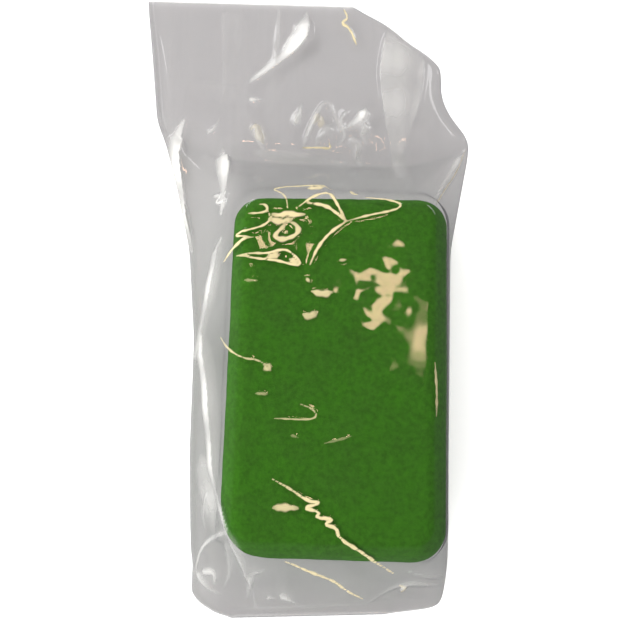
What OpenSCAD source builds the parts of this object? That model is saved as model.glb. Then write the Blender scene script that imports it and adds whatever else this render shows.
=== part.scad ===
// Floral foam brick in its clear film bag, lying flat on its back.
// X runs across the pack, Y along it with the bag's mouth towards +Y, and Z is up.
// The origin is under the middle of the whole pack, on the surface that it lies on.

/* [Foam brick] */
// Width of the foam brick, across X
brick_w = 110; // [100:1:115]
// Length of the foam brick, along Y
brick_l = 184; // [160:1:200]
// Thickness of the foam brick, along Z
brick_h = 36; // [32:1:40]
// Radius of the brick's four upright corners, seen from above
corner_r = 16; // [14:1:25]
// Radius of the brick's top and bottom edges
edge_r = 12; // [9:1:12]

/* [Film bag] */
// Thickness that the film is drawn at, thick enough to be a solid
film_t = 0.4; // [0.3:0.1:0.5]
// Room between the brick and the film round it
slip_gap = 0.3; // [0.3:0.1:0.5]
// Width of the bag's tube of film when it is laid flat and empty
lay_flat_w = 162; // [158:1:170]
// Room on the floor between the brick's left side and the foot of the film
left_room = 18; // [15:1:25]
// Room on the floor between the brick's right side and the foot of the film
right_room = 6; // [6:0.5:7.5]
// Room on the floor between the brick's bottom end and the foot of the film
bottom_room = 16; // [12:1:24]
// Room on the floor between the brick's top end and the foot of the film
top_room = 24; // [18:1:26]
// Width of the heat-welded strip that closes the bag's bottom end
weld_w = 8; // [5:1:10]

/* [Neck] */
// Length of the bag's flat neck, from the fold to the mouth
neck_l = 90; // [70:1:110]
// Sideways reach of the neck's left edge past the brick's centre line, at the fold
neck_left = 98; // [95:1:100]
// Extra reach of the neck's left edge at the mouth
neck_lean = 11; // [0:1:15]
// Straight width of the mouth, up to the corner that is turned in
mouth_w = 110; // [90:1:120]
// Gap between the neck's two films
neck_gap = 1.6; // [1:0.1:2]

/* [Hidden] */
$fn = 48;

// How far the front film's edges stand in from the brick's sides
edge_inset = edge_r / 5;
// Height of the brick's underside, and of the front film's inner face
brick_z = film_t + slip_gap;
front_z = brick_z + brick_h + slip_gap;
// Height that a sloping film climbs, from the back film to the front film
rise = front_z - film_t;

// Foot lines of the four sloping films, measured from the brick's centre
left_foot = brick_w / 2 + left_room;
right_foot = brick_w / 2 + right_room;
bottom_foot = brick_l / 2 + bottom_room;
top_foot = brick_l / 2 + top_room;
// Edges of the front film, measured from the brick's centre
front_x = brick_w / 2 - edge_inset;
front_y = brick_l / 2 - edge_inset;

// Where the back film starts to widen towards the neck
flare_start = brick_l / 2 - 32;

// The neck turns on a fold just past the foot of the shoulder
fold_gap = 2;
fold_y = top_foot + fold_gap;
neck_right = lay_flat_w - neck_left;
// Room that each neck film leaves beside the fold, to turn without rubbing
back_start = 1.5;
front_start = 5;
// The neck's right edge: straight up to corner_start, then turned in
corner_start = 13;
corner_mid = [neck_right - 14, 60];

// Moves the brick's centre so that the pack's middle is over the origin
shift_x = neck_lean / 2 + neck_left - lay_flat_w / 2;
shift_y = (bottom_foot + weld_w - fold_y - neck_l) / 2;

// Puts a piece that is drawn round the brick's centre in its place in the pack
module placed() {
    translate([shift_x, shift_y, 0]) children();
}

// Section of the brick: a rectangle of the given width with round corners
module rounded_section(width) {
    inner_w = width / 2 - edge_r;
    inner_h = brick_h / 2 - edge_r;
    square([width, 2 * inner_h], center = true);
    square([2 * inner_w, brick_h], center = true);
    for (side = [-1, 1], level = [-1, 1])
        translate([side * inner_w, level * inner_h]) circle(r = edge_r);
}

// Upright corner of the brick: the same rounded edge, turned about a vertical line
module brick_corner() {
    inner_h = brick_h / 2 - edge_r;
    rotate_extrude() {
        translate([0, -brick_h / 2]) square([corner_r - edge_r, brick_h]);
        translate([0, -inner_h]) square([corner_r, 2 * inner_h]);
        for (level = [-1, 1])
            translate([corner_r - edge_r, level * inner_h])
                intersection() {
                    circle(r = edge_r);
                    translate([0, -edge_r]) square([edge_r, 2 * edge_r]);
                }
    }
}

// Flat sloping film. Its foot lies foot_y from the brick's centre along heading,
// and its head lies inset nearer the centre and rise higher. The two pairs are
// the ends of its foot and of its head, measured across heading.
module sloping_film(heading, foot_y, inset, foot, head) {
    slope = norm([inset, rise]);
    rotate([0, 0, heading])
        translate([0, -foot_y, film_t])
            rotate([atan2(rise, inset), 0, 0])
                linear_extrude(film_t)
                    polygon([
                        [foot[0], 0],
                        [foot[1], 0],
                        [head[1], slope],
                        [head[0], slope]
                    ]);
}

// One film of the neck, from start past the fold up to the mouth
module neck_film(start, level) {
    lean_at_start = neck_lean * start / neck_l;
    translate([0, fold_y, level])
        linear_extrude(film_t)
            polygon([
                [-neck_left - lean_at_start, start],
                [neck_right, start],
                [neck_right, corner_start],
                corner_mid,
                [mouth_w - neck_left - neck_lean, neck_l],
                [-neck_left - neck_lean, neck_l]
            ]);
}

// The moulded block of foam, with its upright corners and all its edges rounded
module foam_brick() {
    color("forestgreen") placed()
        translate([0, 0, brick_z + brick_h / 2]) {
            rotate([90, 0, 0])
                linear_extrude(brick_l - 2 * corner_r, center = true)
                    rounded_section(brick_w);
            rotate([90, 0, 90])
                linear_extrude(brick_w - 2 * corner_r, center = true)
                    rounded_section(brick_l);
            for (side = [-1, 1], end = [-1, 1])
                translate([
                    side * (brick_w / 2 - corner_r),
                    end * (brick_l / 2 - corner_r),
                    0
                ])
                    brick_corner();
        }
}

// The half of the bag that lies on the floor, under the brick. It widens
// towards the fold, where the tube of film lies flat again.
module back_film() {
    color("gainsboro") placed()
        linear_extrude(film_t)
            polygon([
                [-left_foot, -bottom_foot],
                [right_foot, -bottom_foot],
                [right_foot, flare_start],
                [neck_right, top_foot],
                [-neck_left, top_foot],
                [-left_foot, flare_start]
            ]);
}

// The film over the brick's top face
module front_film() {
    color("gainsboro", 0.4) placed()
        translate([-front_x, -front_y, front_z])
            cube([2 * front_x, 2 * front_y, film_t]);
}

// The slack film on the brick's left side
module left_side_film() {
    color("gainsboro", 0.5) placed()
        sloping_film(
            -90, left_foot, left_foot - front_x,
            [-top_foot, bottom_foot], [-front_y, front_y]
        );
}

// The close film on the brick's right side
module right_side_film() {
    color("gainsboro", 0.5) placed()
        sloping_film(
            90, right_foot, right_foot - front_x,
            [-bottom_foot, top_foot], [-front_y, front_y]
        );
}

// The film that comes down over the brick's bottom end to the weld
module bottom_end_film() {
    color("gainsboro", 0.5) placed()
        sloping_film(
            0, bottom_foot, bottom_foot - front_y,
            [-left_foot, right_foot], [-front_x, front_x]
        );
}

// The heat-welded strip, where the two films are pressed into one
module bottom_weld() {
    color("silver") placed()
        translate([-left_foot, -bottom_foot - weld_w, 0])
            cube([left_foot + right_foot, weld_w, film_t]);
}

// The film that comes down over the brick's top end to the neck
module shoulder_film() {
    color("gainsboro", 0.5) placed()
        sloping_film(
            180, top_foot, top_foot - front_y,
            [-neck_right, neck_left], [-front_x, front_x]
        );
}

// The neck's back film, which lies on the floor
module neck_back_film() {
    color("gainsboro") placed() neck_film(back_start, 0);
}

// The neck's front film, which lies loose over the back one
module neck_front_film() {
    color("gainsboro", 0.4) placed() neck_film(front_start, film_t + neck_gap);
}

foam_brick();
back_film();
front_film();
left_side_film();
right_side_film();
bottom_end_film();
bottom_weld();
shoulder_film();
neck_back_film();
neck_front_film();
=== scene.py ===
"""Floral foam brick in its clear film bag: the looks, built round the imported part."""

from math import cos, radians, sin

import bmesh
import bpy
import numpy as np
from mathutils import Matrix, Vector, noise


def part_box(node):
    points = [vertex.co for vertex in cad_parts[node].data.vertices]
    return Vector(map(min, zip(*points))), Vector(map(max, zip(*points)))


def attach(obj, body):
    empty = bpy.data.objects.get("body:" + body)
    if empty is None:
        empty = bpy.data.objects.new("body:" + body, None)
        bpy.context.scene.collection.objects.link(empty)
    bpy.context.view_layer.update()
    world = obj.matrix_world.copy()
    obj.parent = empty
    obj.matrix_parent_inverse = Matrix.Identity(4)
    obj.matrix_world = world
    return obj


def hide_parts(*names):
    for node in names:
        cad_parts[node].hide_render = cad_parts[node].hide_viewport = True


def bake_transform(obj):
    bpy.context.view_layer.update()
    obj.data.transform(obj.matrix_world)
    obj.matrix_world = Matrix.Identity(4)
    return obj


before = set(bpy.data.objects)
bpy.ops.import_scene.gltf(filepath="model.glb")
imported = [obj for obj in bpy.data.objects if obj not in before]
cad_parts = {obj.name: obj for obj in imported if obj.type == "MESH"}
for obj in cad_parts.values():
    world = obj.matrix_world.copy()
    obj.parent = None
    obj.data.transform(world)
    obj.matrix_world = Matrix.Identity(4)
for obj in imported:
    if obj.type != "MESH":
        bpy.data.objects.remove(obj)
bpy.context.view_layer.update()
bpy.ops.object.select_all(action="DESELECT")


# ---- Foam brick ----
# One block of phenolic floral foam, moulded with round corners and round edges.
# It is dry and matt, made of fine open cells, and its green is finely mottled.
MM = 0.001
brick_low, brick_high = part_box("foam_brick")
brick_size = brick_high - brick_low
brick_centre = (brick_low + brick_high) / 2
BRICK_CORNER = 16 * MM
BRICK_EDGE = 12 * MM
FOAM_STEP = 1.15 * MM
# How far the top sags and pits, how much shorter and slimmer the block is than its full box, and
# how far one of its corners is rubbed away
FOAM_SAG = 0.5 * MM
FOAM_PIT = 0.16 * MM
FOAM_SHORT = 2.6 * MM
FOAM_NARROW = 0.9 * MM
FOAM_RUBBED = 4 * MM
# Shares of the block's half length and half width past which that corner is rubbed
RUBBED_ALONG, RUBBED_ACROSS = 0.72, 0.55


def linear(hex_colour):
    """The linear colour of an sRGB hex value, with full alpha."""
    parts = [int(hex_colour[i : i + 2], 16) / 255 for i in (1, 3, 5)]
    return [c / 12.92 if c <= 0.04045 else ((c + 0.055) / 1.055) ** 2.4 for c in parts] + [1]


def add_node(material, kind, settings=None, **inputs):
    """Adds a node. settings are its own properties; inputs are values or sockets, by socket name."""
    node = material.node_tree.nodes.new(kind)
    for name, value in (settings or {}).items():
        setattr(node, name, value)
    for name, value in inputs.items():
        place = int(name[1:]) if name[0] == "_" and name[1:].isdigit() else name.replace("_", " ")
        if isinstance(value, bpy.types.NodeSocket):
            material.node_tree.links.new(value, node.inputs[place])
        else:
            node.inputs[place].default_value = value
    return node


def new_material(name):
    """An empty node material and its output node."""
    material = bpy.data.materials.new(name)
    material.use_nodes = True
    material.node_tree.nodes.clear()
    return material, material.node_tree.nodes.new("ShaderNodeOutputMaterial")


bpy.ops.mesh.primitive_cube_add(size=1, location=brick_centre)
brick = bpy.context.object
brick.name = "foam_block"
brick.scale = brick_size
bpy.ops.object.transform_apply(location=True, rotation=True, scale=True)
bpy.ops.object.mode_set(mode="EDIT")
bpy.ops.mesh.select_mode(type="EDGE")
bpy.ops.mesh.select_all(action="DESELECT")
shape = bmesh.from_edit_mesh(brick.data)
for edge in shape.edges:
    a, b = (v.co for v in edge.verts)
    edge.select = abs(a.z - b.z) > 1 * MM
bmesh.update_edit_mesh(brick.data)
bpy.ops.mesh.bevel(offset=BRICK_CORNER, segments=14, affect="EDGES")
bpy.ops.mesh.select_all(action="DESELECT")
shape = bmesh.from_edit_mesh(brick.data)
for edge in shape.edges:
    a, b = (v.co for v in edge.verts)
    level = abs(a.z - b.z) < 0.1 * MM
    edge.select = level and len({round(f.normal.z) for f in edge.link_faces}) > 1
bmesh.update_edit_mesh(brick.data)
bpy.ops.mesh.bevel(offset=BRICK_EDGE, segments=10, affect="EDGES")
bpy.ops.object.mode_set(mode="OBJECT")
bpy.ops.object.modifier_add(type="REMESH")
brick.modifiers["Remesh"].mode = "VOXEL"
brick.modifiers["Remesh"].voxel_size = FOAM_STEP
brick.modifiers["Remesh"].use_smooth_shade = True
bpy.ops.object.modifier_apply(modifier="Remesh")
pressed = []
for vertex in brick.data.vertices:
    place = vertex.co / MM
    along = (vertex.co.y - brick_centre.y) / (brick_size.y / 2)
    across = (vertex.co.x - brick_centre.x) / (brick_size.x / 2)
    sag = noise.noise(place / 38) + 0.5 * noise.noise(place / 15)
    pit = max(0.0, noise.noise(place / 2.2)) + 0.6 * noise.noise(place / 5)
    moved = vertex.co - vertex.normal * (FOAM_SAG * (sag + 0.6) * 0.6 + FOAM_PIT * pit)
    # The far end is cut a little askew, one corner of the near end is rubbed round, and the left
    # side is slimmer than the right
    moved.y -= FOAM_SHORT * (1.4 - 0.4 * across) * max(along, 0) ** 3
    rubbed = max(-along - RUBBED_ALONG, 0) * max(-across - RUBBED_ACROSS, 0)
    rubbed /= (1 - RUBBED_ALONG) * (1 - RUBBED_ACROSS)
    moved += Vector((FOAM_RUBBED, 0.6 * FOAM_RUBBED, 0)) * min(rubbed, 1)
    moved.x -= FOAM_NARROW * (0.3 * max(across, 0) ** 3 - max(-across, 0) ** 3)
    pressed.append(moved)
for vertex, place in zip(brick.data.vertices, pressed):
    vertex.co = place

# Dry moulded foam of open cells. It is matt all over, with no shine, and its green is mottled in
# broad blotches and fine flecks. Each pattern is given by how many of its waves fill a metre:
# blotches of 18 mm, flecks of 2.4 mm and cells of 0.67 mm. Real cells are finer than that, and are
# drawn coarser so that they show.
BLOTCHES, FLECKS, CELLS = 55.0, 420.0, 1500.0
foam, foam_out = new_material("dry_floral_foam")
foam_place = add_node(foam, "ShaderNodeTexCoord").outputs["Object"]
blotch = add_node(
    foam, "ShaderNodeTexNoise", Vector=foam_place, Scale=BLOTCHES, Detail=5.0, Roughness=0.65
)
fleck = add_node(
    foam, "ShaderNodeTexNoise", Vector=foam_place, Scale=FLECKS, Detail=3.0, Roughness=0.7
)
cells = add_node(foam, "ShaderNodeTexNoise", Vector=foam_place, Scale=CELLS, Detail=2.0)
broad = add_node(foam, "ShaderNodeValToRGB", Fac=blotch.outputs["Fac"])
broad.color_ramp.elements[0].position = 0.3
broad.color_ramp.elements[0].color = linear("#4B941F")
broad.color_ramp.elements[1].position = 0.7
broad.color_ramp.elements[1].color = linear("#4A8626")
fine = add_node(foam, "ShaderNodeValToRGB", Fac=fleck.outputs["Fac"])
fine.color_ramp.elements[0].position = 0.32
fine.color_ramp.elements[0].color = linear("#D2D2D2")
fine.color_ramp.elements[1].position = 0.7
fine.color_ramp.elements[1].color = linear("#FFFFFF")
foam_colour = add_node(
    foam, "ShaderNodeMix", {"data_type": "RGBA", "blend_type": "MULTIPLY"},
    _0=1.0, _6=broad.outputs["Color"], _7=fine.outputs["Color"],
)
foam_bump = add_node(
    foam, "ShaderNodeBump", Strength=0.6, Distance=0.25 * MM, Height=cells.outputs["Fac"]
)
foam_skin = add_node(
    foam, "ShaderNodeBsdfPrincipled",
    Base_Color=foam_colour.outputs[2], Roughness=0.85, Normal=foam_bump.outputs["Normal"],
)
foam.node_tree.links.new(foam_skin.outputs["BSDF"], foam_out.inputs["Surface"])
brick.data.materials.clear()
brick.data.materials.append(foam)
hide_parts("foam_brick")
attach(brick, "brick")


# ---- Film bag ----
# One length of blown clear film tube, welded shut at the bottom and open at the mouth.
# It is crisp and glossy, close round the foam and flat at the neck, with the creases
# of a bag that has been handled. Sizes are in millimetres from the brick's centre.
# The mesh has a ring of points every ROW_STEP, with fine steps across the front film and coarse
# ones across the back, which lies flat
ROW_STEP = 0.9
FRONT_STEPS = 216
BACK_STEPS = 27
FRONT_PER_BACK = FRONT_STEPS // BACK_STEPS
BOTTOM_Y, MOUTH_Y = -119.5, 210.4
# Edges of the bag as it lies, as (place along it, place across it)
LEFT_EDGE = [
    (-119.5, -47), (-117.5, -55), (-114, -61.5), (-111.5, -65.5), (-108.5, -68), (-105, -69.5),
    (-100.5, -67.5), (-96, -68), (-92, -69.5), (-64, -71.5), (-39, -73), (18, -74), (66, -79),
    (102, -88), (128, -96), (137, -100.5), (172, -105), (210.4, -110.4),
]
RIGHT_EDGE = [
    (-119.5, 24), (-118.5, 34), (-117.5, 45), (-116, 52), (-113, 55), (-107, 56.5), (-90, 58.5),
    (70, 59.5), (99, 64.5), (125, 69), (134, 69), (144, 60), (157, 54), (171, 54), (179, 52.5),
    (184, 42), (193.5, 30.5), (202, 21), (207, 10), (210.4, 0),
]
# Line where the shoulder meets the flat neck, as (across, along)
FOLD_LINE = [
    (-110, 140), (-96, 135), (-84, 127), (-70, 121.5), (-49, 118), (-27, 117), (16, 117),
    (32, 117.5), (48, 121), (59, 125.5), (70, 131),
]
# How far the corners of that line are rounded off
FOLD_BLUR = 8
# How far the film runs on level past the flat of the brick's top before it slopes down, and how
# close it lies to the brick
FLAT_REACH = 5
FILM_GAP = 0.7
# Width of the flat strip along the weld, and the neck's least height, its puff past the fold, and
# the lengths over which that rises and dies away
FLAT_STRIP = 5
NECK_LEAST, NECK_PUFF, NECK_RISE, NECK_FALL = 1.0, 5.5, 6, 60
film_top = brick_high.z / MM + FILM_GAP
edge_middle = film_top - FILM_GAP - BRICK_EDGE / MM


def smooth_line(at, knots, blur):
    """Reads a line of knots at the places given, with its corners rounded."""
    places, values = zip(*knots)
    around = [np.interp(at + k, places, values) for k in np.linspace(-blur, blur, 9)]
    return np.mean(around, axis=0)


def brick_distance(x, y):
    """How far a point lies outside the flat top of the brick, seen from above."""
    corner = (BRICK_CORNER - BRICK_EDGE) / MM
    out_x = np.abs(x) - (brick_size.x / 2 - BRICK_CORNER) / MM
    out_y = np.abs(y) - (brick_size.y / 2 - BRICK_CORNER) / MM
    outside = np.hypot(np.maximum(out_x, 0), np.maximum(out_y, 0))
    return np.maximum(outside + np.minimum(np.maximum(out_x, out_y), 0) - corner, 0)


def brick_cover(x, y, gap=FILM_GAP):
    """Height of the brick's top, grown by a gap, and 0 beside it."""
    radius = BRICK_EDGE / MM + gap
    out = brick_distance(x, y)
    round_edge = edge_middle + np.sqrt(np.maximum(radius**2 - out**2, 0))
    return np.where(out < radius, round_edge, 0)


def film_height(x, y, left, right):
    """Height of the front film: a tent from the brick's edges to the bag's, then the flat neck."""
    fold = smooth_line(x, FOLD_LINE, FOLD_BLUR)
    near_left, near_right = x - left, right - x
    near_bottom, near_fold = y - BOTTOM_Y - FLAT_STRIP, fold - y
    foot = np.minimum(np.minimum(near_left, near_right), np.minimum(near_bottom, near_fold))
    out = np.maximum(brick_distance(x, y) - FLAT_REACH, 0)
    tent = film_top * (1 - out / (out + np.maximum(foot, 0) + 1e-6))
    past = np.maximum(-near_fold, 0)
    rise = 1 - np.exp(-past / NECK_RISE)
    neck = NECK_LEAST + NECK_PUFF * rise * np.exp(-past / NECK_FALL)
    # The two films come together at the sides and at the weld
    edge = 0.4 + 0.5 * np.maximum(np.minimum(near_left, near_right), 0)
    edge = np.minimum(edge, 0.6 + 0.12 * np.maximum(y - BOTTOM_Y, 0))
    free_film = np.maximum(tent, np.minimum(neck, edge))
    cover = brick_cover(x, y)
    # Beside the brick the film bridges the corner in a soft curve
    highest = np.maximum(free_film, cover)
    bridge = np.clip(film_top - highest, 0, 2) + 1e-6
    return highest + np.maximum(bridge - np.abs(free_film - cover), 0) ** 2 / (4 * bridge)


# Hard creases, as (strength of the painted glint, half width of its painted line, points). They stand up
# by CREASE_RISE over CREASE_FOOT on each side, and along each a cream line is painted as a glint of the
# warm lamps.
CREASE_RISE = 0.45
CREASE_FOOT = 1.7
CREASES = [
    # zigzag over the brick's bottom end, and the crease beside it
    (1.0, 0.8, [
        (-29, -55.5), (-20, -60), (-12.5, -65), (-5, -66), (-14.5, -68.5), (-6, -70), (-8, -73),
        (1, -73), (-4.5, -76), (2, -77), (3, -82), (15.5, -88.5), (30.5, -97.5),
    ]),
    (0.9, 0.6, [(-22, -93), (-12, -96.5), (-7, -98), (1.5, -102), (7, -106), (17, -111)]),
    # single creases over the flat of the brick
    (0.6, 0.48, [(-29, -26.7), (-13, -27), (-8.5, -25.3), (-11, -21.5), (-17, -19.5)]),
    (0.65, 0.48, [(-58, 15), (-53, 7), (-46, 2), (-38, 1.5), (-33, -2)]),
    (0.8, 0.6, [(47.5, 3), (48.5, -12), (48.5, -23)]),
    (0.7, 2.0, [(-34.5, -1), (-32, -3.5)]),
    (0.8, 1.7, [(-28, -68.8), (-22.5, -68.5), (-16.5, -68.7)]),
    (0.8, 1.6, [(-13.5, 36.5), (-7.5, 35), (-3, 36.5)]),
    (0.7, 1.7, [(-17.5, 25), (-14, 23.5), (-10.5, 26)]),
    (0.7, 0.9, [(-16, 43), (-14.5, 41)]),
    (0.6, 0.8, [(0, 52.5), (3.5, 53)]),
    # loops over the brick's top end
    (0.8, 0.6, [
        (-26.5, 79), (-27.5, 84.5), (-30, 87.5), (-35, 90.5), (-29.5, 93), (-20, 94.5), (-11, 95.5),
        (-8.5, 95), (-5, 91.5),
    ]),
    (0.9, 1.4, [(-17, 92.5), (-13, 92.5), (-9, 94)]),
    (1.0, 0.8, [(-21, 80), (-13, 86.5), (-6, 89), (-2.5, 83), (3, 73)]),
    (1.0, 0.9, [(-17, 82), (-7.5, 81), (-2, 77), (3, 73)]),
    (1.0, 0.8, [(3, 73), (-5, 67), (-11, 59), (-14.5, 50)]),
    (0.9, 0.6, [(3, 73), (14, 76.5), (27, 79.5), (31, 82.5), (25, 85), (12, 86)]),
    (1.0, 0.65, [
        (-50.5, 54), (-43, 55), (-36, 55), (-32, 56.5), (-27, 57.5), (-23.5, 55.5), (-19, 51),
        (-21, 49), (-26.5, 50.5), (-30.5, 51.5), (-43, 52.5), (-51, 54),
    ]),
    (0.9, 1.5, [(-35.5, 53.2), (-30, 54.5)]),
    (0.9, 1.5, [(-24.5, 52.5), (-20, 50)]),
    (0.9, 0.65, [(-46, 75.5), (-39.5, 76), (-36.5, 77.5), (-37, 79.5), (-38.5, 80.5), (-41, 80.5)]),
    (0.9, 0.6, [
        (-36.5, 77), (-34.5, 73), (-38, 69.5), (-43.5, 67.5), (-51.5, 65.5), (-51.5, 64.3),
        (-47.5, 63.7), (-43, 63.2),
    ]),
    (0.9, 0.8, [(-44, 63), (-47.5, 62.8), (-53, 58.5), (-57.5, 53.5)]),
    (1.0, 1.5, [(-34, 75.5), (-29.5, 75), (-27, 76.5), (-23, 75.5), (-18, 76)]),
    (0.9, 1.6, [(-35.5, 73), (-29.5, 71.5), (-24, 73.5)]),
    (0.9, 1.3, [
        (-25.5, 72), (-22, 70.5), (-20.5, 67.5), (-22.5, 64.5), (-28.5, 62.3), (-32.5, 63.5),
        (-31.5, 66), (-28.5, 69), (-27, 71.5),
    ]),
    # bottom end, neck and shoulder
    (0.5, 0.8, [(33.5, -103), (37, -103.5), (35, -108)]),
    (0.9, 0.8, [(-0.5, 207), (2, 202), (-2, 198.5), (3, 196), (7, 186)]),
    (0.8, 0.6, [(-21, 124), (-12, 124.5), (-5, 124), (-7, 127.5)]),
    (0.35, 0.6, [(67, 126), (60, 110.5), (52, 95), (48, 84)]),
    (0.25, 2.4, [(-49, 134), (-46, 136), (-44, 130), (-42, 126)]),
    (0.25, 2.2, [(-15, 138), (-12, 143), (-11.5, 136)]),
    # faint painted glints over the brick
    (0.25, 0.7, [(-21, -34.5), (-17.5, -35.5)]),
    (0.25, 0.6, [(-5, -38), (2, -36), (8, -34)]),
    (0.35, 0.8, [(-46.5, 41), (-40, 41)]),
    (0.35, 0.8, [(-38.5, -15), (-33, -15)]),
    (0.6, 0.8, [(4.5, 91), (6.5, 87.5), (9, 88)]),
]
# Pleats and folded-over film, as (height, width on the left, width on the right, painted sheen
# on the left, painted sheen on the right, points), with the points from the mouth downwards. The
# painted sheen is a pale band on a pleat's flank that stands for light reflected off it.
PLEATS = [
    # down the slack left side
    (3.0, 8.5, 3.0, 0.85, 0.0, [(-85, 137), (-86.5, 126), (-85.5, 116), (-83, 98), (-80.5, 80), (-77, 66)]),
    (3.0, 7.0, 2.5, 0.85, 0.0, [(-63, 122), (-59.5, 112), (-58.5, 100), (-58.5, 90), (-60, 80)]),
    (2.6, 6.0, 2.5, 0.7, 0.2, [(-59.5, 66), (-61, 50), (-65, 35), (-70, 18), (-72, 8)]),
    (2.8, 6.0, 3.0, 0.85, 0.1, [(-69.5, 22), (-62.5, -5), (-60.5, -22), (-57.5, -57), (-48, -82)]),
    # corners of the bottom end
    (0.7, 5.0, 8.0, 0.22, 0.3, [(-66, -44), (-63, -56), (-61, -66), (-58, -76), (-55, -83)]),
    (0.8, 2.0, 3.0, 0.4, 0.1, [(-60, -60), (-63.5, -70), (-61, -80)]),
    (1.8, 3.0, 2.5, 0.5, 0.0, [(-48, -81), (-56, -83.5), (-64, -91.5), (-67, -101)]),
    (1.6, 2.0, 2.5, 0.3, 0.2, [(-49, -80), (-43.5, -91), (-38, -104), (-36, -114)]),
    (1.2, 2.0, 2.0, 0.5, 0.3, [(-66, -99), (-60, -105), (-54, -108.5)]),
    (1.1, 2.0, 2.5, 0.3, 0.15, [(-50, -85), (-47.5, -92), (-48, -99), (-51.5, -106)]),
    (1.4, 3.0, 2.0, 0.6, 0.4, [(-42, -98), (-37, -99), (-40, -110)]),
    (1.4, 2.0, 2.0, 0.6, 0.3, [(-42, -98), (-31.5, -97)]),
    (1.2, 2.0, 2.0, 0.5, 0.3, [(-63, -99), (-55.5, -98), (-56, -104)]),
    (2.2, 1.6, 2.2, 0.35, 0.0, [(57, -98.5), (50, -98.5), (42, -97.8), (35, -95.5)]),
    (2.0, 1.6, 2.2, 0.25, 0.0, [(57, -103), (48, -102.5), (36, -102), (26, -108), (18, -114)]),
    (1.0, 1.6, 1.6, 0.9, 0.9, [(36, -102.5), (35.5, -104.5), (34.5, -107.5)]),
    (0.9, 1.4, 1.6, 0.8, 0.5, [(-24.5, -109.5), (-20, -110.5), (-16, -113)]),
    (0.6, 1.2, 1.2, 0.6, 0.3, [(-31, -110), (-27, -110.5)]),
    (0.7, 2.0, 6.0, 0.1, 0.0, [(-48, -115), (-18.5, -114), (8.5, -114), (30, -111)]),
    # neck: a broad flare, a wedge of film folded over, and a knot of small creases
    (3.0, 9.5, 3.0, 0.9, 0.0, [(-20, 203), (-19, 190), (-26, 180), (-36, 172), (-49, 162)]),
    (0.8, 2.5, 2.5, 0.25, 0.15, [(-37.5, 173), (-37, 190), (-37, 207)]),
    (0.3, 3.0, 14.0, 0.07, 0.03, [(-66.5, 208), (-65, 183), (-64.5, 157), (-64, 140)]),
    (0.3, 3.0, 12.0, 0.06, 0.03, [(-55, 157.5), (-70, 159), (-80, 160), (-92, 158.5)]),
    (1.6, 2.0, 24.0, 0.0, 0.36, [(25, 200), (19.5, 175), (21.5, 153), (24.5, 133.5), (29, 110)]),
    (1.4, 6.0, 2.0, 0.2, 0.0, [(45, 180), (43, 153.5), (36.5, 134), (30, 112)]),
    (2.2, 1.5, 3.0, 0.2, 0.3, [(-20, 124), (-14.5, 141), (-9, 152), (-4.5, 145), (-1, 132)]),
    (1.6, 5.0, 4.0, 0.75, 0.35, [(13, 147), (11.5, 140), (4, 136), (-1, 134)]),
    (1.2, 1.5, 5.0, 0.1, 0.3, [(12, 139), (10, 132), (13, 126)]),
    (1.4, 4.0, 3.0, 0.3, 0.2, [(-5, 137), (-9, 132), (-13, 128), (-12, 124)]),
    (1.4, 3.0, 4.0, 0.2, 0.35, [(3, 129), (9, 126), (7, 120), (11, 116)]),
    (1.0, 2.0, 2.0, 0.3, 0.1, [(4, 146), (-1, 140), (3, 131), (-2, 126)]),
    (1.5, 3.0, 3.0, 0.6, 0.2, [(-26, 137), (-24.5, 143), (-22, 150)]),
    (1.8, 3.5, 3.5, 0.3, 0.2, [(-48, 137), (-44.5, 130), (-41, 121)]),
    # small folds beside the knot and at the foot of the left pleat
    (0.8, 1.3, 1.3, 0.7, 0.4, [(-51, 151), (-47, 151.5), (-43, 151)]),
    (0.8, 1.4, 1.4, 0.7, 0.3, [(-73, 131), (-69, 133), (-67, 138)]),
    (1.2, 1.5, 1.5, 0.8, 0.2, [(-67, 91), (-58.5, 89.5), (-65, 86.5), (-57, 86), (-61.5, 79)]),
    # painted light band along the shoulder, and the right shoulder
    (0.8, 3.0, 3.0, 0.25, 0.2, [(-48, 121), (-30, 119.5), (-8, 118.5), (4, 116)]),
    (1.6, 2.5, 3.0, 0.35, 0.0, [(66, 124), (58.5, 110.5), (50.5, 95), (46.5, 84)]),
]


def round_corners(points, rounds):
    """Cuts the corners of a line of points, so that it runs in soft curves."""
    line = np.array(points, float)
    for _ in range(rounds):
        near, far = line[:-1] * 0.75 + line[1:] * 0.25, line[:-1] * 0.25 + line[1:] * 0.75
        line = np.vstack([line[:1], np.stack([near, far], 1).reshape(-1, 2)[1:-1], line[-1:]])
    return line


def nearest_on(x, y, points, reach, rounds):
    """Which places lie within reach of a line of points, and for those the distance to it,
    the side of it they lie on, how far along it they are, the way to it, and its length."""
    line = round_corners(points, rounds)
    low, high = line.min(axis=0) - reach, line.max(axis=0) + reach
    near = (x > low[0]) & (x < high[0]) & (y > low[1]) & (y < high[1])
    px, py = x[near], y[near]
    best, side, where = np.full(px.shape, 1e9), np.ones(px.shape), np.zeros(px.shape)
    step_x, step_y = np.zeros(px.shape), np.zeros(px.shape)
    start = 0.0
    for (ax, ay), (bx, by) in zip(line, line[1:]):
        length = np.hypot(bx - ax, by - ay)
        dx, dy = (bx - ax) / length, (by - ay) / length
        along = np.clip((px - ax) * dx + (py - ay) * dy, 0, length)
        to_x, to_y = ax + along * dx - px, ay + along * dy - py
        away = np.hypot(to_x, to_y)
        nearer = away < best
        best = np.where(nearer, away, best)
        side = np.where(nearer, to_y * dx - to_x * dy, side)
        where = np.where(nearer, start + along, where)
        step_x, step_y = np.where(nearer, to_x, step_x), np.where(nearer, to_y, step_y)
        start += length
    return near, best, side, where, np.stack([step_x, step_y], -1), start


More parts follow.
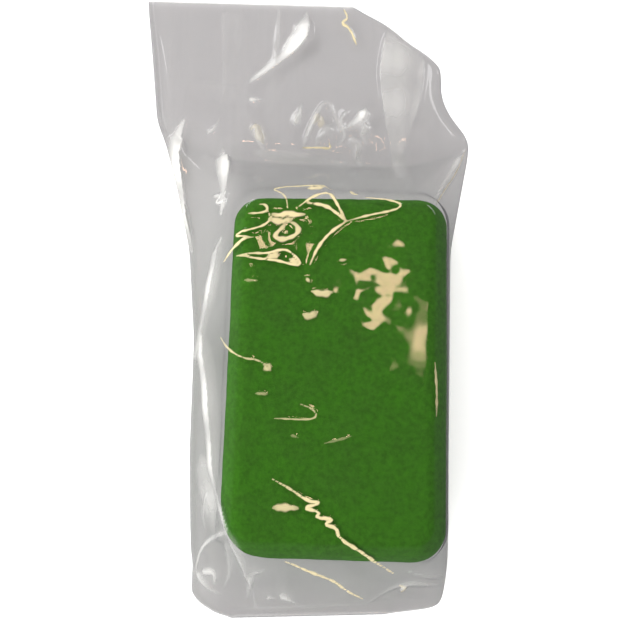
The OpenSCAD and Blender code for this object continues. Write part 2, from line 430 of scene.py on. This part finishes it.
def fading(where, length, first=0.2, last=0.2):
    """1 along the middle of a line, falling to 0 over the shares given at its two ends."""
    return np.clip(np.minimum(where / first, (length - where) / last) / length, 0, 1)


def waves(points, size, seed):
    """Soft noise at each point, between about -1 and 1, with waves of the size given."""
    shift = Vector((seed * 17.3, seed * 5.1, seed * 9.7))
    flat = points.reshape(-1, 3)
    values = [noise.noise(Vector(p) / size + shift) for p in flat]
    return np.array(values).reshape(points.shape[:-1])


def facets(x, y, size, seed):
    """Flat facets with straight creases between them, as in film that was crushed."""
    total = np.zeros(x.shape)
    for turn in range(4):
        angle = seed + turn * 2.4
        across = (x * cos(angle) + y * sin(angle)) / size + turn * 0.37
        bend = 0.35 * np.sin((y * cos(angle) - x * sin(angle)) / (size * (1.3 + 0.4 * turn)) + turn)
        total += np.abs((across + bend) % 1 - 0.5)
    return total / 4 - 0.25


rows = np.arange(BOTTOM_Y, MOUTH_Y + 0.01, ROW_STEP)
edge_blur = np.clip((rows - BOTTOM_Y) / 3, 1, 6)
left_edge = smooth_line(rows, LEFT_EDGE, edge_blur)
right_edge = smooth_line(rows, RIGHT_EDGE, edge_blur)
front = np.zeros((len(rows), FRONT_STEPS + 1, 3))
for i, y in enumerate(rows):
    x = np.linspace(left_edge[i], right_edge[i], 900)
    z = film_height(x, np.full_like(x, y), left_edge[i], right_edge[i])
    run = np.concatenate([[0], np.cumsum(np.hypot(np.diff(x), np.diff(z)))])
    at = np.linspace(0, run[-1], FRONT_STEPS + 1)
    front[i] = np.stack([np.interp(at, run, x), np.full_like(at, y), np.interp(at, run, z)], 1)

# Each pass moves a point half way to the middle of its four neighbours
SMOOTHING_PASSES = 10
for _ in range(SMOOTHING_PASSES):
    around = front[2:, 1:-1] + front[:-2, 1:-1] + front[1:-1, 2:] + front[1:-1, :-2]
    front[1:-1, 1:-1] += 0.5 * (around / 4 - front[1:-1, 1:-1])

x, y = front[..., 0], front[..., 1]
along_row = np.gradient(front, axis=1)
along_bag = np.gradient(front, axis=0)
outward = np.cross(along_row, along_bag)
outward /= np.linalg.norm(outward, axis=2, keepdims=True) + 1e-9
from_edge = np.minimum(x - left_edge[:, None], right_edge[:, None] - x)
calm_edge = np.clip(from_edge / 6, 0, 1)
fold = smooth_line(x, FOLD_LINE, FOLD_BLUR)
in_neck = np.clip((y - fold) / 12, 0, 1)
at_bottom = np.clip((-84 - y) / 10, 0, 1)
at_left = np.clip((-50 - x) / 8, 0, 1) * (1 - in_neck)
# The film's loose waves and crushed facets, each as its height times waves or facets of a size
lift = 0.4 * waves(front, 32, 1) + 0.16 * waves(front, 13, 2) + 0.05 * waves(front, 6.5, 8)
lift += at_left * (0.9 * waves(front, 22, 3) + 2.2 * facets(x, y, 34, 0.3))
lift += at_bottom * (0.9 * waves(front, 14, 4) + 2.6 * facets(x, y, 26, 1.1))
lift += in_neck * (1.3 * waves(front, 34, 5) + 1.6 * facets(x, y, 58, 2.0))
crumpled = np.exp(-(((x + 2) / 24) ** 2) - (((y - 134) / 20) ** 2))
lift += crumpled * (1.6 * waves(front, 9, 6) + 3.0 * facets(x, y, 17, 0.8))
# Where it lies loose on the brick the film is finely crumpled
slack_right = np.exp(-(((x - 22) / 20) ** 2) - (((y - 38) / 22) ** 2))
slack_left = np.exp(-(((x + 30) / 18) ** 2) - (((y - 66) / 16) ** 2))
lift += slack_left * (0.14 * waves(front, 9, 11) + 0.08 * waves(front, 5, 12))
drawn_across = np.stack([x / 3.5, y + 0.2 * x, 0 * x], axis=-1)
lift += slack_right * (0.13 * waves(front, 10, 11) + 0.05 * waves(drawn_across, 3.5, 12))
# Near the brick's right edge it is drawn smooth
lift *= 1 - 0.92 * np.exp(-(((x - 41) / 9) ** 2) - (((y - 13) / 24) ** 2))
# Distance to the nearest hard crease, in half widths of its painted glint line, and the strength of that
# painted glint
NO_CREASE = 3.0
crease_away, painted_crease_glint = np.full(x.shape, NO_CREASE), np.zeros(x.shape)
onto_crease = np.zeros((*x.shape, 2))
for painted_glint, glint_width, points in CREASES:
    reach = 3 * glint_width + CREASE_FOOT
    near, away, side, where, step, length = nearest_on(x, y, points, reach, 1)
    fade = fading(where, length)
    beside = away < ROW_STEP * 0.45
    onto_crease[near] = np.where(beside[:, None], step, onto_crease[near])
    away = np.where(beside, 0, away)
    rise = CREASE_RISE * min(1, glint_width / 0.8) * (0.2 + 0.8 * fade)
    lift[near] += rise * np.maximum(1 - away / CREASE_FOOT, 0)
    uneven = 1 + 0.35 * np.sin(where * 0.9 + 3 * length) * np.sin(where * 0.37 + length)
    away /= glint_width * uneven * (0.4 + 0.5 * fade)
    nearest = away < crease_away[near]
    crease_away[near] = np.where(nearest, away, crease_away[near])
    faded = 0.92 * painted_glint * (0.6 + 0.4 * fade)
    painted_crease_glint[near] = np.where(nearest, faded, painted_crease_glint[near])
# Painted sheen: pale bands on the flanks of the pleats, standing for light reflected off them
haze_and_sheen = np.zeros(x.shape)
for height, left_width, right_width, left_sheen, right_sheen, points in PLEATS:
    reach = max(left_width, right_width)
    near, away, side, where, _, length = nearest_on(x, y, points, reach, 2)
    fade = fading(where, length, 0.12, 0.6)
    width = np.where(side > 0, left_width, right_width) * (0.3 + 0.7 * fade)
    flank = np.maximum(1 - away / width, 0)
    lift[near] += height * (0.1 + 0.9 * fade) * flank
    painted_sheen = np.where(side > 0, left_sheen, right_sheen) * np.clip(flank * 1.8, 0, 1)
    painted_sheen *= (0.35 + 0.65 * fade) * (0.85 + 0.3 * np.sin(where * 0.21 + length))
    haze_and_sheen[near] = np.maximum(haze_and_sheen[near], painted_sheen)
# Painted sheen on the film off the brick's left side, and faint streaks along the tube, left by the blowing
streaks = np.stack([x, y / 14, 0 * x], axis=-1)
off_brick = np.clip(brick_distance(x, y) / 14 - 0.8, 0, 1)
haze_and_sheen += 0.08 * at_left * off_brick
haze_and_sheen += 0.05 * off_brick * np.clip(waves(streaks, 7, 9) + waves(streaks, 2.5, 10) * 0.5, 0, 1)
near_end = np.clip((y - BOTTOM_Y) / 6, 0, 1)
front += outward * (lift * calm_edge * near_end)[..., None]
front[..., :2] += onto_crease * calm_edge[..., None]
# No point of the front film sinks into the brick or the back film
LEAST_GAP, LEAST_HEIGHT, SIDE_HEIGHT = 0.4, 0.45, 0.35
lowest = np.maximum(brick_cover(front[..., 0], front[..., 1], LEAST_GAP), LEAST_HEIGHT)
front[..., 2] = np.maximum(front[..., 2], lowest)
front[:, [0, -1], 2] = SIDE_HEIGHT

share = np.linspace(1, 0, BACK_STEPS + 1)[1:-1]
back = np.zeros((len(rows), BACK_STEPS - 1, 3))
back[..., 0] = left_edge[:, None] + (right_edge - left_edge)[:, None] * share
back[..., 1] = rows[:, None]
# The tube was cut and welded a little askew, by ASKEW of its width
ASKEW = 0.055
for side_points in (front, back):
    near_weld = np.clip((-96 - side_points[..., 1]) / 24, 0, 1)
    side_points[..., 1] += ASKEW * (side_points[..., 0] + 20) * near_weld
loose = np.clip(brick_distance(back[..., 0], back[..., 1]) / 30 - 0.4, 0, 1)
back[..., 2] = 0.2 + loose * 0.5 * np.abs(waves(back, 16, 7))

bag_points = []
away_values, glint_values, haze_and_sheen_values = [], [], []
rings = []
for i in range(len(rows)):
    first = len(bag_points)
    bag_points.extend(front[i])
    away_values.extend(crease_away[i])
    glint_values.extend(painted_crease_glint[i])
    haze_and_sheen_values.extend(haze_and_sheen[i])
    if i:
        bag_points.extend(back[i])
        away_values.extend([NO_CREASE] * len(back[i]))
        glint_values.extend([0.0] * len(back[i]))
        haze_and_sheen_values.extend([0.0] * len(back[i]))
    rings.append(list(range(first, len(bag_points))))
bag_faces = []
for i in range(1, len(rows) - 1):
    near, far = rings[i], rings[i + 1]
    for k in range(len(near)):
        n = (k + 1) % len(near)
        bag_faces.append((near[k], near[n], far[n], far[k]))
# The bottom row is the weld: front and back share its points
weld, first_ring = rings[0], rings[1]
for k in range(FRONT_STEPS):
    bag_faces.append((weld[k], weld[k + 1], first_ring[k + 1], first_ring[k]))
for k in range(BACK_STEPS):
    near_k = FRONT_STEPS + k
    end_k = (near_k + 1) % len(first_ring)
    last = FRONT_STEPS - FRONT_PER_BACK * k
    strip = [weld[last - m] for m in range(FRONT_PER_BACK + 1)]
    bag_faces.append((*strip, first_ring[end_k], first_ring[near_k]))

bag_mesh = bpy.data.meshes.new("film_bag")
shift = Vector((brick_centre.x, brick_centre.y, 0))
bag_mesh.from_pydata([Vector(p) * MM + shift for p in bag_points], [], bag_faces)
bag_mesh.update()
bag = bpy.data.objects.new("film_bag", bag_mesh)
bpy.context.scene.collection.objects.link(bag)
for face in bag_mesh.polygons:
    face.use_smooth = True
# Per point: distance to the nearest crease, strength of its painted glint, and the haze and painted sheen
for name, values in (
    ("crease_away", away_values), ("painted_crease_glint", glint_values), ("haze_and_sheen", haze_and_sheen_values)
):
    bag_mesh.attributes.new(name, "FLOAT", "POINT").data.foreach_set("value", values)

# Clear blown film, crisp and thin. It shows what lies under it, mirrors lamps in sharp glints and
# shines most where it stands steep to the eye.
film, film_out = new_material("clear_blown_film")
tilt = add_node(film, "ShaderNodeLayerWeight", Blend=0.5)
steep = add_node(film, "ShaderNodeMath", {"operation": "POWER"}, _0=tilt.outputs["Facing"], _1=2.0)
# Light takes a longer way through film that it meets at a slant, so steep film is darker
film_tint = add_node(
    film, "ShaderNodeMix", {"data_type": "RGBA"},
    _0=steep.outputs["Value"], _6=linear("#E0DFDF"), _7=linear("#C6C6C8"),
)
clear = add_node(film, "ShaderNodeBsdfTransparent", Color=film_tint.outputs[2])
gleam = add_node(
    film, "ShaderNodeBsdfPrincipled", Base_Color=linear("#F4F4F4"), Metallic=1.0, Roughness=0.04
)
grazing = add_node(film, "ShaderNodeMath", {"operation": "POWER"}, _0=tilt.outputs["Facing"], _1=5.0)
mirror = add_node(
    film, "ShaderNodeMath", {"operation": "MULTIPLY_ADD"}, _0=grazing.outputs["Value"], _1=0.6, _2=0.045
)
glossy_film = add_node(
    film, "ShaderNodeMixShader", _0=mirror.outputs["Value"],
    _1=clear.outputs["BSDF"], _2=gleam.outputs["BSDF"],
)
# Painted glint: a cream line along each hard crease, standing for the warm lamps' glint on it
painted_glint_skin = add_node(
    film, "ShaderNodeBsdfPrincipled", Base_Color=linear("#E3D3A4"), Roughness=0.35
)
from_crease = add_node(film, "ShaderNodeAttribute", {"attribute_name": "crease_away"})
crease_band = add_node(
    film, "ShaderNodeMapRange", {"interpolation_type": "SMOOTHSTEP"},
    _0=from_crease.outputs["Fac"], _1=0.5, _2=1.4, _3=1.0, _4=0.0,
)
painted_glint = add_node(film, "ShaderNodeAttribute", {"attribute_name": "painted_crease_glint"})
painted_glint_line = add_node(
    film, "ShaderNodeMath", {"operation": "MULTIPLY", "use_clamp": True},
    _0=crease_band.outputs["Result"], _1=painted_glint.outputs["Fac"],
)
creased_film = add_node(
    film, "ShaderNodeMixShader", _0=painted_glint_line.outputs["Value"],
    _1=glossy_film.outputs["Shader"], _2=painted_glint_skin.outputs["BSDF"],
)
# Painted sheen on the pleats, and the faint haze streaks, shown as a soft pale film
sheen = add_node(
    film, "ShaderNodeBsdfPrincipled", Base_Color=linear("#DEDDD9"), Roughness=0.3
)
sheen_share = add_node(film, "ShaderNodeAttribute", {"attribute_name": "haze_and_sheen"})
film_mix = add_node(
    film, "ShaderNodeMixShader", _0=sheen_share.outputs["Fac"],
    _1=creased_film.outputs["Shader"], _2=sheen.outputs["BSDF"],
)
film.node_tree.links.new(film_mix.outputs["Shader"], film_out.inputs["Surface"])
bag_mesh.materials.append(film)
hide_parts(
    "back_film", "front_film", "left_side_film", "right_side_film", "bottom_end_film",
    "bottom_weld", "shoulder_film", "neck_back_film", "neck_front_film",
)
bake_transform(bag)


# ---- Table top and studio ----
# A plain pale table under the pack, with soft light from large panels round it
# and two small warm ceiling lamps, whose mirror images are some of the glints on the film; the cream
# lines on its creases are painted glints.
TABLE_SIZE = 3.2
TABLE_GAP = 0.2 * MM
bpy.ops.mesh.primitive_plane_add(size=TABLE_SIZE, location=(0, 0, -TABLE_GAP))
table = bpy.context.object
table.name = "table_top"
table.visible_glossy = False
# Matt pale paint. It also gives off a little light, so that it shows next to no shadow.
paint, paint_out = new_material("pale_table")
paint_skin = add_node(
    paint, "ShaderNodeBsdfPrincipled", Base_Color=linear("#F6F6F6"), Roughness=0.9,
    Emission_Color=linear("#FFFFFF"), Emission_Strength=0.42,
)
paint.node_tree.links.new(paint_skin.outputs["BSDF"], paint_out.inputs["Surface"])
table.data.materials.append(paint)


def add_panel(name, place, aim, size, power, colour="#FFFFFF"):
    """A soft rectangular light at place, turned to face aim."""
    light = bpy.data.lights.new(name, "AREA")
    light.shape = "RECTANGLE"
    light.size, light.size_y = size
    light.energy = power
    light.color = linear(colour)[:3]
    panel = bpy.data.objects.new(name, light)
    panel.location = place
    panel.rotation_euler = (Vector(aim) - Vector(place)).to_track_quat("-Z", "Y").to_euler()
    bpy.context.scene.collection.objects.link(panel)
    return panel


soft_panels = [
    add_panel("left_panel", (-1.3, 0.3, 0.8), (0, 0, 0), (1.3, 0.9), 26),
    add_panel("right_panel", (1.4, -0.1, 0.9), (0, 0, 0), (1.2, 0.8), 2),
    add_panel("far_panel", (0, 1.4, 1.0), (0, 0, 0), (1.2, 0.8), 8),
    add_panel("near_panel", (-0.35, -1.46, 1.0), (0, 0, 0), (1.2, 0.8), 26),
]
for panel in soft_panels:
    panel.visible_glossy = False
LAMP_LIGHT = "#FFD2B0"
add_panel("left_window", (-0.6, 0.85, 0.7), (0, 0, 0), (0.5, 0.4), 3)
add_panel("right_window", (0.65, 0.8, 0.7), (0, 0, 0), (0.5, 0.4), 3)
add_panel("warm_lamp_left", (-0.034, 0.231, 0.737), (0, 0, 0), (0.034, 0.034), 0.06, LAMP_LIGHT)
add_panel("warm_lamp_right", (0.082, 0.168, 0.737), (0, 0, 0), (0.044, 0.058), 0.13, LAMP_LIGHT)
# Three panels of one lamp, each inside the last, so that its glint fades towards its edge
for share in (1.0, 0.65, 0.35):
    add_panel(
        "far_lamp", (0.13, 0.11, 0.7 + 0.04 * share), (0.13, 0.11, 0),
        (0.019 * share, 0.07 * share), 0.013 * share, LAMP_LIGHT,
    )

# Pale walls and a darker ceiling, so that flat film stays clear and tilted film shines
world = bpy.data.worlds.new("studio")
world.use_nodes = True
bpy.context.scene.world = world
sky = world.node_tree.nodes["Background"]
upward = add_node(world, "ShaderNodeTexCoord").outputs["Generated"]
height = add_node(world, "ShaderNodeSeparateXYZ", Vector=upward).outputs["Z"]
walls = add_node(world, "ShaderNodeValToRGB", Fac=height)
walls.color_ramp.elements[0].color = (0.28, 0.28, 0.28, 1)
walls.color_ramp.elements[1].color = (0.05, 0.05, 0.05, 1)
walls.color_ramp.elements[0].position = 0.3
walls.color_ramp.elements[1].position = 0.86
world.node_tree.links.new(walls.outputs["Color"], sky.inputs["Color"])
sky.inputs["Strength"].default_value = 1.0
# Behind the table the camera sees a plain pale wall
pale_wall = add_node(world, "ShaderNodeBackground", Color=linear("#FCFCFC"), Strength=1.0)
seen_directly = add_node(world, "ShaderNodeLightPath").outputs["Is Camera Ray"]
studio_wall = add_node(
    world, "ShaderNodeMixShader",
    _0=seen_directly, _1=sky.outputs["Background"], _2=pale_wall.outputs["Background"],
)
world_out = world.node_tree.nodes["World Output"]
world.node_tree.links.new(studio_wall.outputs["Shader"], world_out.inputs["Surface"])


# ---- Camera ----
# Almost straight above the pack, a little towards its bottom end.
AIM = brick_centre + Vector((-13.9, 31.0, 0.0)) * MM
AIM.z = 20 * MM
DISTANCE = 0.556
ELEVATION = radians(77)
ROLL = radians(1.8)
LENS = 63.871
camera_data = bpy.data.cameras.new("camera")
camera_data.sensor_width = 36
camera_data.lens = LENS
camera = bpy.data.objects.new("camera", camera_data)
back_off = Vector((sin(ROLL) * cos(ELEVATION), -cos(ROLL) * cos(ELEVATION), sin(ELEVATION)))
camera.location = AIM + back_off * DISTANCE
camera.rotation_euler = (-back_off).to_track_quat("-Z", "Y").to_euler()
bpy.context.scene.collection.objects.link(camera)
bpy.context.scene.camera = camera
bpy.context.scene.view_settings.view_transform = "Standard"
